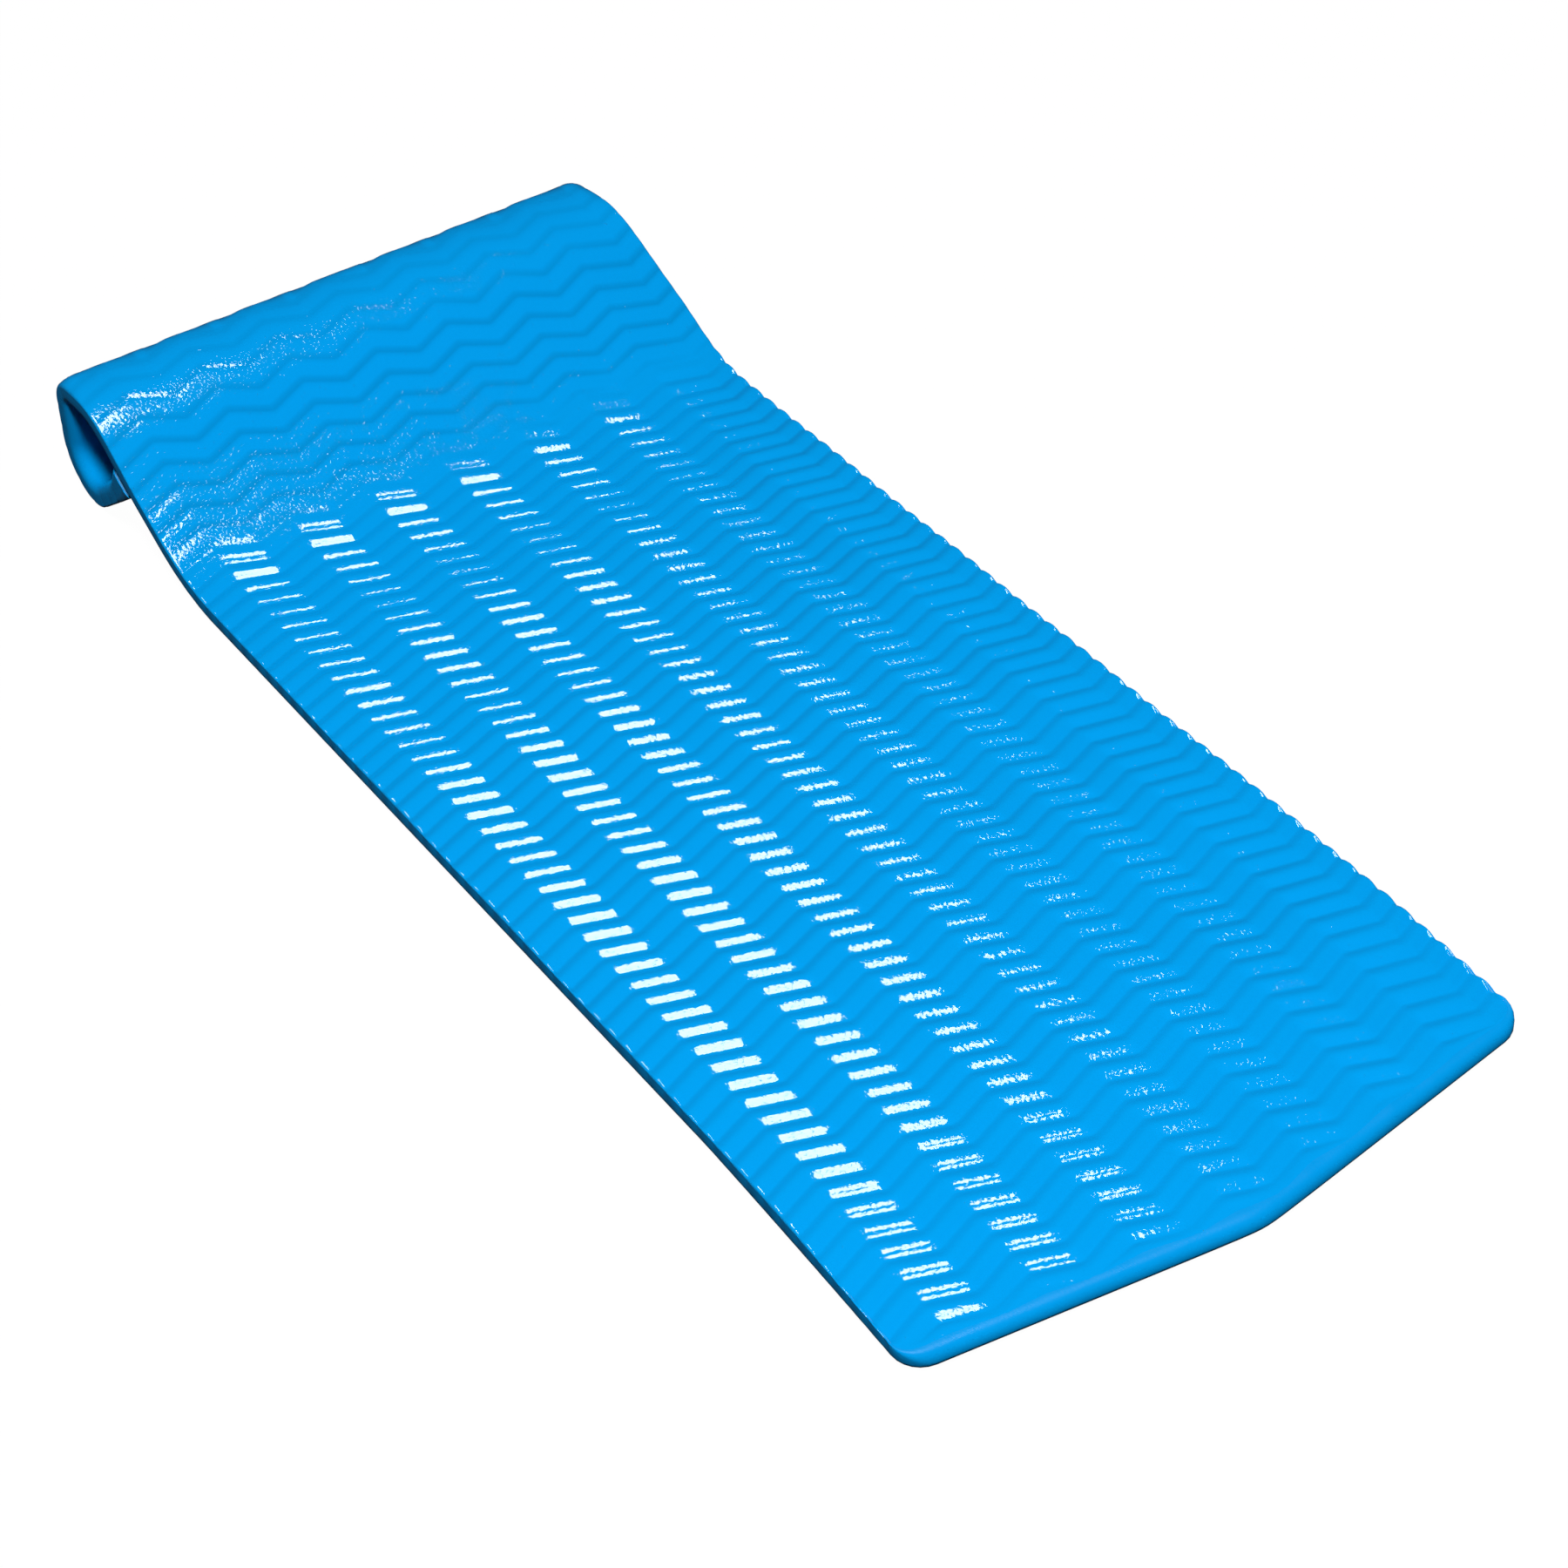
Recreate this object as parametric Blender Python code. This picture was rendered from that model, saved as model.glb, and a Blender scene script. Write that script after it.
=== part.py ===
# Foam pool float mat with a chevron-ribbed top and a head end rolled under into a pillow.
# Metres, +Z up, +Y toward the pillow, +X across. Origin: middle of the footprint, on the ground.

import bpy
import bmesh
import math
from mathutils import Vector

# Sheet, as it lies flat before it is rolled. Outer sizes include the vinyl coat.
SHEET_WIDTH = 0.635
SHEET_THICKNESS = 0.024
COAT_THICKNESS = 0.0008
SEATING_GAP = 0.0003

# Foot end: a shallow point at mid width, with rounded corners.
FOOT_POINT_DEPTH = 0.0465
FOOT_CORNER_RADIUS = 0.030
FOOT_CORNER_FACETS = 3
SMOOTH_FOOT_BORDER = 0.014
RIB_FADE_LENGTH = 0.050

# Edges of the sheet.
LOWER_EDGE_RADIUS = 0.009
FOOT_TOP_RADIUS = 0.007
EDGE_FACETS = 2

# Chevron ribs on the upper side.
RIB_PITCH = 0.0254
RIB_HEIGHT = 0.0036
CHEVRON_PERIOD = 0.0858
CHEVRON_DEPTH = 0.0163
CHEVRON_SHIFT = 0.005

# Bends of the sheet from foot to tail, at mid thickness. Angles in degrees, up is positive.
FLAT_LENGTH = 1.217
RISE_RADIUS = 0.205
RISE_ANGLE = 30.7
RAMP_LENGTH = 0.107
CROWN_RADIUS = 0.161
CROWN_ANGLE = 32.3
SHOULDER_RADIUS = 0.021
SHOULDER_ANGLE = 83.0
HEEL_RADIUS = 0.0397
HEEL_ANGLE = 130.5
ROLL_CLEARANCE = 0.001
TIGHT_BEND_RADIUS = 0.060

# Tail: its end is cut to the slope of the ramp above it, and squeezed thicker there.
TAIL_BULGE = 0.012
TAIL_BULGE_LENGTH = 0.045
BOND_THICKNESS = 0.0015
BOND_MARGIN = 0.004

BLUE_TOP = (0.003, 0.30, 0.80, 1.0)
BLUE_UNDER = (0.003, 0.22, 0.66, 1.0)
FOAM_BLUE = (0.10, 0.42, 0.78, 1.0)
GLUE_AMBER = (0.75, 0.62, 0.36, 1.0)

# Face tags on the foam: which coat covers a face. The mitred end of the tail has none.
FACE_TAGS = {"under": 0, "top": 1, "mitre": 2}

PLANAR_LIMIT = math.radians(0.03)
SMOOTH_LIMIT = math.radians(50)


def clear_scene():
    for item in list(bpy.data.objects):
        bpy.data.objects.remove(item)


def make_material(name, colour, roughness):
    material = bpy.data.materials.new(name)
    material.use_nodes = True
    shader = material.node_tree.nodes["Principled BSDF"]
    shader.inputs["Base Color"].default_value = colour
    shader.inputs["Roughness"].default_value = roughness
    shader.inputs["Metallic"].default_value = 0.0
    return material


class BendPath:
    """Mid-thickness line of the sheet in the YZ plane, as straights and arcs."""

    def __init__(self):
        self.runs = []
        self.length = 0.0
        self.heading = 0.0
        self.point = Vector((0.0, SHEET_THICKNESS / 2))

    def straight(self, length):
        self.runs.append((self.length, self.point.copy(), self.heading, 0.0))
        self.point = self.point + self.direction(self.heading) * length
        self.length += length

    def arc(self, radius, degrees):
        turn = math.radians(degrees)
        curvature = math.copysign(1.0 / radius, turn)
        self.runs.append((self.length, self.point.copy(), self.heading, curvature))
        start_normal = self.normal(self.heading)
        self.heading += turn
        self.point = self.point + (start_normal - self.normal(self.heading)) / curvature
        self.length += radius * abs(turn)

    @staticmethod
    def direction(heading):
        return Vector((math.cos(heading), math.sin(heading)))

    @staticmethod
    def normal(heading):
        return Vector((-math.sin(heading), math.cos(heading)))

    def run_at(self, along):
        """The straight or arc that holds a distance along the sheet."""
        reached = [run for run in self.runs if run[0] <= along]
        return reached[-1] if reached else self.runs[0]

    def is_tight(self, along):
        return abs(self.run_at(along)[3]) * TIGHT_BEND_RADIUS > 1.0

    def frame(self, along):
        """Point and upper-side normal at a distance along the sheet."""
        start, point, heading, curvature = self.run_at(along)
        step = along - start
        if curvature == 0.0:
            return point + self.direction(heading) * step, self.normal(heading)
        turned = heading + step * curvature
        centre = point + self.normal(heading) / curvature
        return centre - self.normal(turned) / curvature, self.normal(turned)


class RolledSheet:
    """Bend path with the places that the roll fixes: ramp, tail end and mitre."""

    def __init__(self):
        path = BendPath()
        self.path = path
        path.straight(FLAT_LENGTH)
        path.arc(RISE_RADIUS, RISE_ANGLE)
        self.ramp_heading = path.heading
        self.ramp_point = path.point.copy()
        path.straight(RAMP_LENGTH)
        path.arc(CROWN_RADIUS, -CROWN_ANGLE)
        path.arc(SHOULDER_RADIUS, -SHOULDER_ANGLE)
        path.straight(self.back_length())
        path.arc(HEEL_RADIUS, -HEEL_ANGLE)
        self.tail_point = path.point.copy()
        self.tail_heading = path.heading
        self.down = -path.normal(self.ramp_heading)
        self.ramp_underside = self.ramp_point + self.down * (SHEET_THICKNESS / 2)
        bond_room = BOND_THICKNESS + 2 * SEATING_GAP
        towards = path.direction(self.tail_heading)
        clear = (self.tail_point - self.ramp_underside).dot(self.down) - bond_room
        self.tail_length = clear / -towards.dot(self.down)
        path.straight(self.tail_length)
        tail_up = path.normal(self.tail_heading)
        self.mitre = math.atan2(-self.down.dot(tail_up), -self.down.dot(towards))

    def back_length(self):
        """Straight drop behind the shoulder that brings the heel of the roll down to the ground."""
        hub = self.path.point - self.path.normal(self.path.heading) * HEEL_RADIUS
        drop = hub.y - HEEL_RADIUS - SHEET_THICKNESS / 2 - ROLL_CLEARANCE
        return drop / -self.path.direction(self.path.heading).y

    def place(self, x, along, height):
        """World place of a point of the flat sheet; height is from the sheet's underside."""
        point, normal = self.path.frame(along)
        spot = point + normal * (height - SHEET_THICKNESS / 2)
        return Vector((x, spot.x, spot.y))


def foot_slope():
    return math.atan2(FOOT_POINT_DEPTH, SHEET_WIDTH / 2)


def chevron_offset(x):
    """Shift of a rib along the sheet: a zigzag across the width."""
    phase = ((x - CHEVRON_SHIFT) / CHEVRON_PERIOD + 0.25) % 1.0
    wave = 4 * abs(phase - 0.5) - 1
    return wave * CHEVRON_DEPTH / 2


def chevron_columns(half_width):
    """Places across the width of the two edges and of every bend of the ribs."""
    spacing = CHEVRON_PERIOD / 2
    middle = CHEVRON_SHIFT - CHEVRON_PERIOD / 4
    margin = spacing / 8
    first = math.ceil((margin - half_width - middle) / spacing)
    last = math.floor((half_width - margin - middle) / spacing)
    bends = [middle + spacing * k for k in range(first, last + 1)]
    return [-half_width] + bends + [half_width]


def rib_fade(x, along):
    """0 on the smooth border of the foot, growing to 1 where the ribs have their full height."""
    inland = (along - abs(x) * math.tan(foot_slope())) * math.cos(foot_slope())
    share = (inland - SMOOTH_FOOT_BORDER) / RIB_FADE_LENGTH
    return min(1.0, max(0.0, share))


def tail_swell(sheet, along):
    """Growth of the tail toward its glued end, on the side that faces the hollow."""
    start = sheet.path.length - TAIL_BULGE_LENGTH
    share = min(1.0, max(0.0, (along - start) / TAIL_BULGE_LENGTH))
    return TAIL_BULGE * share * share * (3 - 2 * share)


def section(half_width, low, high):
    """Closed cross-section of the sheet: the bends along the top, then round the lower edges."""
    ring = [(x, high, True) for x in chevron_columns(half_width)]
    radius = LOWER_EDGE_RADIUS
    arc = [math.pi / 2 * k / EDGE_FACETS for k in range(EDGE_FACETS + 1)]
    corner = [(half_width - radius * (1 - math.cos(a)), low + radius * (1 - math.sin(a))) for a in arc]
    ring += [(x, z, False) for x, z in corner]
    ring += [(-x, z, False) for x, z in reversed(corner)]
    return ring


def flat_ribbed_sheet(sheet):
    """The foam sheet, flat and square-ended, with ribs on its upper side."""
    inset = COAT_THICKNESS + SEATING_GAP
    ring = section(SHEET_WIDTH / 2 - inset, inset, SHEET_THICKNESS - inset)
    reach = sheet.path.length + SHEET_THICKNESS + TAIL_BULGE
    first = -math.ceil(CHEVRON_DEPTH / RIB_PITCH) * 4
    quarters = range(first, math.ceil(reach / (RIB_PITCH / 4)) + 1)
    rows = [k for k in quarters if k % 2 == 0 or sheet.path.is_tight(k * RIB_PITCH / 4)]
    bm = bmesh.new()
    bmesh.ops.create_grid(bm, x_segments=len(ring), y_segments=len(rows) - 1, size=0.5)
    bm.verts.ensure_lookup_table()
    bm.faces.ensure_lookup_table()
    wide = len(ring) + 1
    top_count = sum(1 for corner in ring if corner[2])
    for vertex in bm.verts:
        row, column = divmod(vertex.index, wide)
        x, height, on_top = ring[column % len(ring)]
        along = rows[row] * RIB_PITCH / 4
        if on_top:
            along += chevron_offset(x)
            groove = (1 - math.cos(rows[row] * math.pi / 2)) / 2
            height -= RIB_HEIGHT * groove * rib_fade(x, along)
        elif height < SHEET_THICKNESS / 2:
            height -= tail_swell(sheet, along)
        vertex.co = Vector((x, along, height))
    for face in bm.faces:
        columns = sorted(vertex.index % wide for vertex in face.verts)
        if columns[-1] < top_count:
            face.material_index = FACE_TAGS["top"]
    bmesh.ops.remove_doubles(bm, verts=bm.verts, dist=1e-6)
    ends = [edge for edge in bm.edges if edge.is_boundary]
    bmesh.ops.holes_fill(bm, edges=ends, sides=0)
    bmesh.ops.recalc_face_normals(bm, faces=bm.faces)
    return bm


def cut(bm, point, outward, tag=FACE_TAGS["under"]):
    """Cut away what lies outward of a plane and close the cut."""
    geometry = bm.verts[:] + bm.edges[:] + bm.faces[:]
    result = bmesh.ops.bisect_plane(
        bm, geom=geometry, dist=1e-6, plane_co=point, plane_no=outward, clear_outer=True)
    rim = [item for item in result["geom_cut"] if isinstance(item, bmesh.types.BMEdge)]
    if not rim:
        return
    filled = bmesh.ops.holes_fill(bm, edges=rim, sides=0)
    for face in filled["faces"]:
        face.material_index = tag


def rounded_edge_planes(reach, low, high):
    """Planes of one outline edge with its rounded rims, as (distance, height, outward, up)."""
    planes = [(reach, (low + high) / 2, 1.0, 0.0)]
    for radius, level, sign in ((LOWER_EDGE_RADIUS, low, -1), (FOOT_TOP_RADIUS, high, 1)):
        for k in range(EDGE_FACETS):
            a = math.pi / 2 * k / EDGE_FACETS
            b = math.pi / 2 * (k + 1) / EDGE_FACETS
            tilt = (a + b) / 2
            distance = reach - radius * (1 - math.cos(a))
            height = level - sign * radius * (1 - math.sin(a))
            planes.append((distance, height, math.cos(tilt), sign * math.sin(tilt)))
    return planes


def shape_foot(bm):
    """Cut the foot to its shallow point, round its corners and its rims."""
    inset = COAT_THICKNESS + SEATING_GAP
    slope = foot_slope()
    radius = FOOT_CORNER_RADIUS
    half_width = SHEET_WIDTH / 2
    corner_x = half_width - radius
    corner_y = (radius + corner_x * math.sin(slope)) / math.cos(slope)
    turn = math.pi / 2 - slope
    for side in (-1, 1):
        for k in range(FOOT_CORNER_FACETS + 1):
            angle = slope + turn * k / (FOOT_CORNER_FACETS + 1)
            outward = Vector((side * math.sin(angle), -math.cos(angle), 0.0))
            hub = Vector((side * corner_x, corner_y, 0.0))
            for distance, height, out, up in rounded_edge_planes(
                    radius - inset, inset, SHEET_THICKNESS - inset):
                point = hub + outward * distance + Vector((0.0, 0.0, height))
                cut(bm, point, outward * out + Vector((0.0, 0.0, up)))


def shape_tail(bm, sheet):
    """Cut the tail so that its end lies flat along the ramp once the sheet is rolled."""
    point = Vector((0.0, sheet.path.length, SHEET_THICKNESS / 2))
    outward = Vector((0.0, math.cos(sheet.mitre), math.sin(sheet.mitre)))
    cut(bm, point, outward, FACE_TAGS["mitre"])


def roll(bm, sheet):
    """Bend the flat sheet along its path. The skins are lifted from its triangles later."""
    for vertex in bm.verts:
        vertex.co = sheet.place(*vertex.co)
    bmesh.ops.dissolve_limit(
        bm, angle_limit=PLANAR_LIMIT, verts=bm.verts, edges=bm.edges, delimit={"MATERIAL"})
    bmesh.ops.triangulate(bm, faces=bm.faces, quad_method="SHORT_EDGE", ngon_method="BEAUTY")
    bmesh.ops.recalc_face_normals(bm, faces=bm.faces)


def add_object(name, bm, material):
    mesh = bpy.data.meshes.new(name)
    bm.to_mesh(mesh)
    bm.free()
    for polygon in mesh.polygons:
        polygon.material_index = 0
    mesh.materials.append(material)
    mesh.shade_smooth()
    mesh.set_sharp_from_angle(angle=SMOOTH_LIMIT)
    item = bpy.data.objects.new(name, mesh)
    bpy.context.scene.collection.objects.link(item)
    return item


def follows_side(vertex, half_width):
    """True where the border of a skin runs straight along a long side of the sheet."""
    border = [edge for edge in vertex.link_edges if edge.is_boundary]
    ends = [end for edge in border for end in edge.verts]
    return bool(ends) and all(abs(end.co.x) > half_width - SEATING_GAP for end in ends)


def add_coat(name, foam, tag, material, overhang=0.0):
    """Vinyl skin on the foam faces that carry one tag: they are lifted by the gap and thickened.

    The overhang carries the skin's two long edges out over the skin of the side walls.
    """
    bm = foam.copy()
    spare = [face for face in bm.faces if face.material_index != FACE_TAGS[tag]]
    bmesh.ops.delete(bm, geom=spare, context="FACES")
    bm.normal_update()
    half_width = max(vertex.co.x for vertex in bm.verts)
    steps = [vertex.normal * vertex.calc_shell_factor() * SEATING_GAP for vertex in bm.verts]
    outer = [vertex for vertex in bm.verts if follows_side(vertex, half_width)]
    for vertex, step in zip(bm.verts, steps):
        vertex.co += step
    for vertex in outer:
        vertex.co.x += math.copysign(overhang, vertex.co.x)
    item = add_object(name, bm, material)
    thicken = item.modifiers.new("Coat", "SOLIDIFY")
    thicken.thickness = COAT_THICKNESS
    thicken.offset = 1.0
    thicken.use_even_offset = True
    thicken.use_rim = True
    return item


def add_bond(sheet, material):
    """Glue line between the tail's cut end and the underside of the ramp."""
    along = sheet.path.direction(sheet.ramp_heading)
    tail = sheet.path.direction(sheet.tail_heading)
    outer = sheet.path.normal(sheet.tail_heading)
    mid = sheet.tail_point + tail * sheet.tail_length
    edges = []
    for height in (SHEET_THICKNESS / 2 - RIB_HEIGHT, -SHEET_THICKNESS / 2 - TAIL_BULGE):
        shift = outer * height - tail * (height * math.tan(sheet.mitre))
        edges.append((mid + shift).dot(along))
    start = min(edges) + BOND_MARGIN
    stop = max(edges) - BOND_MARGIN
    level = (sheet.ramp_underside + sheet.down * (SEATING_GAP + BOND_THICKNESS / 2)).dot(sheet.down)
    centre = along * ((start + stop) / 2) + sheet.down * level
    width = SHEET_WIDTH - 2 * (LOWER_EDGE_RADIUS + BOND_MARGIN)
    bm = bmesh.new()
    bmesh.ops.create_cube(bm, size=1.0)
    bmesh.ops.scale(bm, vec=(width, stop - start, BOND_THICKNESS), verts=bm.verts)
    upright = [edge for edge in bm.edges
               if abs(edge.verts[0].co.z - edge.verts[1].co.z) > BOND_THICKNESS / 2]
    bmesh.ops.bevel(bm, geom=upright, offset=(stop - start) / 4, segments=3, profile=0.5,
                    affect="EDGES", material=-1)
    item = add_object("pillow_bond", bm, material)
    item.rotation_euler = (sheet.ramp_heading, 0.0, 0.0)
    item.location = (0.0, centre.x, centre.y)
    return item


def main():
    clear_scene()
    sheet = RolledSheet()
    foam = flat_ribbed_sheet(sheet)
    shape_foot(foam)
    shape_tail(foam, sheet)
    roll(foam, sheet)
    items = [
        add_coat("upper_vinyl_skin", foam, "top", make_material("glossy_blue_vinyl", BLUE_TOP, 0.22),
                 SEATING_GAP + COAT_THICKNESS),
        add_coat("lower_vinyl_skin", foam, "under",
                 make_material("satin_blue_vinyl", BLUE_UNDER, 0.35)),
        add_object("foam_core", foam, make_material("blue_foam", FOAM_BLUE, 0.9)),
        add_bond(sheet, make_material("amber_glue", GLUE_AMBER, 0.5)),
    ]
    bpy.context.view_layer.update()
    reach = [item.matrix_world @ Vector(corner) for item in items for corner in item.bound_box]
    middle = (min(p.y for p in reach) + max(p.y for p in reach)) / 2
    for item in items:
        item.location.y -= middle


main()
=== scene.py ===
"""Foam pool mat: a chevron-ribbed foam sheet in blue vinyl, its head end rolled into a pillow.

Metres, +Z up, +Y toward the pillow, +X across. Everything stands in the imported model's frame.
"""

import math

import bmesh
import bpy
from bpy.props import FloatProperty, FloatVectorProperty, PointerProperty
from mathutils import Matrix, Vector


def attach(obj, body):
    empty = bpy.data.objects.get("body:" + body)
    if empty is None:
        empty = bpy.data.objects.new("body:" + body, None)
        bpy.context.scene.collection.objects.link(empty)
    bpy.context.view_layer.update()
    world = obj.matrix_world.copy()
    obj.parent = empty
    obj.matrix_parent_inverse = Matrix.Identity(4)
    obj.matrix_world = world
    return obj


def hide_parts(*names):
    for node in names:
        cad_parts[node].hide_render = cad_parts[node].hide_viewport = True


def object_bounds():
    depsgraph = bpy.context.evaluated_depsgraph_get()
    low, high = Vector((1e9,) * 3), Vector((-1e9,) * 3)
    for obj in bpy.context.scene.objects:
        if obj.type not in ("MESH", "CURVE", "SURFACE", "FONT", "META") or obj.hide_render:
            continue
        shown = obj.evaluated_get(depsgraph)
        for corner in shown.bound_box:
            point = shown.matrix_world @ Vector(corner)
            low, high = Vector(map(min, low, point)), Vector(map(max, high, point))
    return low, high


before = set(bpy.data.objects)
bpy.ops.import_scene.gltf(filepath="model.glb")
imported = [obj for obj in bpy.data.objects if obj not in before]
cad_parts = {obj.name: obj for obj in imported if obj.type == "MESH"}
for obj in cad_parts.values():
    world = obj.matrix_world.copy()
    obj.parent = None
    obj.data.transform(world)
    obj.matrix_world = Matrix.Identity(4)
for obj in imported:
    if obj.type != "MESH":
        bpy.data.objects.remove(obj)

bl_info = {
    "name": "Foam Pool Mat",
    "version": (1, 0, 0),
    "blender": (4, 5, 0),
    "location": "3D View > Sidebar > Pool Mat",
    "description": "Builds a chevron-ribbed foam pool mat around its packed solids",
    "category": "Object",
}

SOLIDS_BOX = [list(corner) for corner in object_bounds()]
FOOT_Y = SOLIDS_BOX[0][1]
BODY = "root"

# Steps from the top of an edge down to the underside: its top rounding, wall and lower rounding.
TOP_STEPS = 4
WALL_STEPS = 2
LOW_STEPS = 6
LAYERS = TOP_STEPS + WALL_STEPS + LOW_STEPS

# Steps round a foot corner, rows by the tail's cut end, and rows under the lap on the foot.
CORNER_STEPS = 6
TAIL_ROWS = 8
LAP_ROWS = 3

# Columns at a bend of the ribs and by the foot's point, counted in half widths of a bend.
BEND_STEPS = (-2, -1, 0, 1, 2)
POINT_STEPS = (-1, 1, 3)

# Inside this border of the underside, faces that meet at less than the angle are merged.
BORDER_COLUMNS = 8
BORDER_ROWS = 40
MERGE_ANGLE = math.radians(0.05)

# Where the rows of the mesh lie along one rib: on its crown at 0, in its groove at 0.5.
SKIN_ROWS = (0.0, 0.14, 0.30, 0.44, 0.5, 0.56, 0.70, 0.86)
FOAM_ROWS = (0.0, 0.25, 0.5, 0.75)

# What a face of the sheet belongs to.
TOP_FACE = 0
UNDER_FACE = 1
CUT_FACE = 2
LAP_FACE = 3

# Changes along the sheet, each as a start and a length in metres.
# Past the flat: the ribs wear down, and the skin is pressed together, wrinkled and darkened by
# painted shade.
WORN = (0.03, 0.06)
SQUEEZED_AND_SHADED = (0.06, 0.05)
# Past the ramp: the crown's own ribs, the crest's lift, its drooping ends and its drawn-in end.
CROWNED = (-0.02, 0.05)
LIFTED = (-0.07, 0.13)
DROOPED = (0.035, 0.06)
DRAWN = (-0.114, 0.26)

# Over this height, a start and a length, the pillow begins to move with its crest.
RAISED = (0.045, 0.05)

# The pressed skin, wrinkled and darkened by painted shade: its place in a rib's phase, its reach,
# and how much weaker it is on the crown.
SHADED_CREASE_PHASE = 0.60
SHADED_CREASE_REACH = 0.24
SHADED_CREASE_LOSS = 0.4

# Low waves of the flat sheet: radians per metre along it and across it, and the angle at the foot.
SHORT_WAVE = (29.9, 1.0, 1.29)
LONG_WAVE = (12.0, -9.0, 2.1)
LONG_WAVE_SHARE = 0.35

# The waves end at the rise, and the short one is weaker near the -X end of the rise.
CALMED = (-0.05, 0.12)
HELD_SIDE = (0.17, 0.05)
HELD_END = (1.0, 0.05)
HELD_SHARE = 0.8

# Powers by which the foot's swing and the scallops of the sides grow.
SWAY_POWER = 1.2
SCALLOP_POWER = 3

# Grains per metre of the coarse grain and of the specks, as multiples of the fine grain's.
COARSE_GRAINS = 0.31
SPECK_GRAINS = 1.5

# Squeezed vinyl: wrinkles per metre across and along it, their depth in metres, the growth of its
# grain, and the brightness of its colour under the painted shade in its grooves.
WRINKLES = (30.0, 320.0, 1.0)
WRINKLE_DEPTH = 0.0002
WRINKLE_GRAIN = 0.3
PAINTED_GROOVE_SHADE = 0.79

# Brightness of the room in the gloss, half the floor's side, and its drop below the mat.
DARK_ROOM = 0.02
FLOOR_REACH = 6.0
FLOOR_DROP = 0.0005


class MatSheet(bpy.types.PropertyGroup):
    """The sheet as it lies flat: its outline, its edges and its ribs."""

    width: FloatProperty(
        name="Width", description="Across the mat, over its vinyl", default=0.635, unit="LENGTH")
    thickness: FloatProperty(
        name="Thickness", description="Over the crowns of the ribs", default=0.024, unit="LENGTH")
    coat: FloatProperty(
        name="Vinyl", description="Thickness of the vinyl skins", default=0.0008, unit="LENGTH")
    foot_point: FloatProperty(
        name="Foot point", description="How far the foot comes to a point",
        default=0.0465, unit="LENGTH")
    foot_reach: FloatProperty(
        name="Foot reach", description="How far the foot runs on past its solid",
        default=0.0175, unit="LENGTH")
    point_rounding: FloatProperty(
        name="Point rounding", description="Softness of the point", default=0.012, unit="LENGTH")
    corner_radius: FloatProperty(
        name="Foot corners", description="Radius of the two foot corners",
        default=0.030, unit="LENGTH")
    foot_rim: FloatProperty(
        name="Foot rim", description="Top rounding along the foot", default=0.011, unit="LENGTH")
    side_rim: FloatProperty(
        name="Side rim", description="Top rounding along the sides", default=0.002, unit="LENGTH")
    low_rim: FloatProperty(
        name="Lower rim", description="Rounding of the lower edges", default=0.011, unit="LENGTH")
    rib_pitch: FloatProperty(
        name="Rib pitch", description="From one rib to the next", default=0.0254, unit="LENGTH")
    rib_height: FloatProperty(
        name="Rib height", description="From groove to crown", default=0.0031, unit="LENGTH")
    crown_softness: FloatProperty(
        name="Crown softness", description="Half width of a rib's crown, as a share of the pitch",
        default=0.20, subtype="FACTOR", min=0.0, max=1.0)
    groove_softness: FloatProperty(
        name="Groove softness", description="Half width of a groove, as a share of the pitch",
        default=0.07, subtype="FACTOR", min=0.0, max=1.0)
    rib_start: FloatProperty(
        name="Rib start", description="Shift of all the ribs toward the pillow",
        default=0.0055, unit="LENGTH")
    ramp_ribs: FloatProperty(
        name="Ramp ribs", description="Share of the rib height left on the pillow's ramp",
        default=0.11, subtype="FACTOR", min=0.0, max=1.0)
    crown_ribs: FloatProperty(
        name="Crown ribs", description="Share of the rib height left on the pillow's crown",
        default=0.14, subtype="FACTOR", min=0.0, max=1.0)
    crown_groove: FloatProperty(
        name="Crown groove",
        description="Half width of a groove on the pillow's crown, as a share of the pitch",
        default=0.17, subtype="FACTOR", min=0.0, max=1.0)
    side_scallop: FloatProperty(
        name="Side scallop", description="How far the sides draw in at a groove",
        default=0.0022, unit="LENGTH")
    chevron_period: FloatProperty(
        name="Chevron width", description="From one peak of a rib to the next",
        default=0.0858, unit="LENGTH")
    chevron_depth: FloatProperty(
        name="Chevron depth", description="From peak to valley of a rib",
        default=0.0163, unit="LENGTH")
    chevron_shift: FloatProperty(
        name="Chevron shift", description="Sideways shift of the ribs",
        default=0.005, unit="LENGTH")
    chevron_rounding: FloatProperty(
        name="Chevron rounding", description="Half width of a rib's bend",
        default=0.0035, unit="LENGTH")
    foot_border: FloatProperty(
        name="Foot border", description="Smooth band along the foot", default=0.012, unit="LENGTH")
    rib_fade: FloatProperty(
        name="Rib fade", description="Length over which the ribs grow",
        default=0.022, unit="LENGTH")
    foot_droop: FloatProperty(
        name="Foot droop", description="How far the top sinks toward the foot",
        default=0.0072, unit="LENGTH")
    droop_length: FloatProperty(
        name="Droop length", description="Length of the sinking end", default=0.180, unit="LENGTH")
    foot_sway: FloatProperty(
        name="Foot sway", description="How far the foot swings toward -X",
        default=0.009, unit="LENGTH")
    sway_length: FloatProperty(
        name="Sway length", description="Length of the swinging end", default=0.300, unit="LENGTH")
    swell: FloatProperty(
        name="Surface swell", description="Height of the sheet's long, low waves",
        default=0.00092, unit="LENGTH")
    lap_height: FloatProperty(
        name="Lap height", description="Step of the under skin's lap on the foot",
        default=0.0003, unit="LENGTH")
    foam_gap: FloatProperty(
        name="Foam inset", description="Foam surface below the vinyl",
        default=0.0016, unit="LENGTH")


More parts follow.
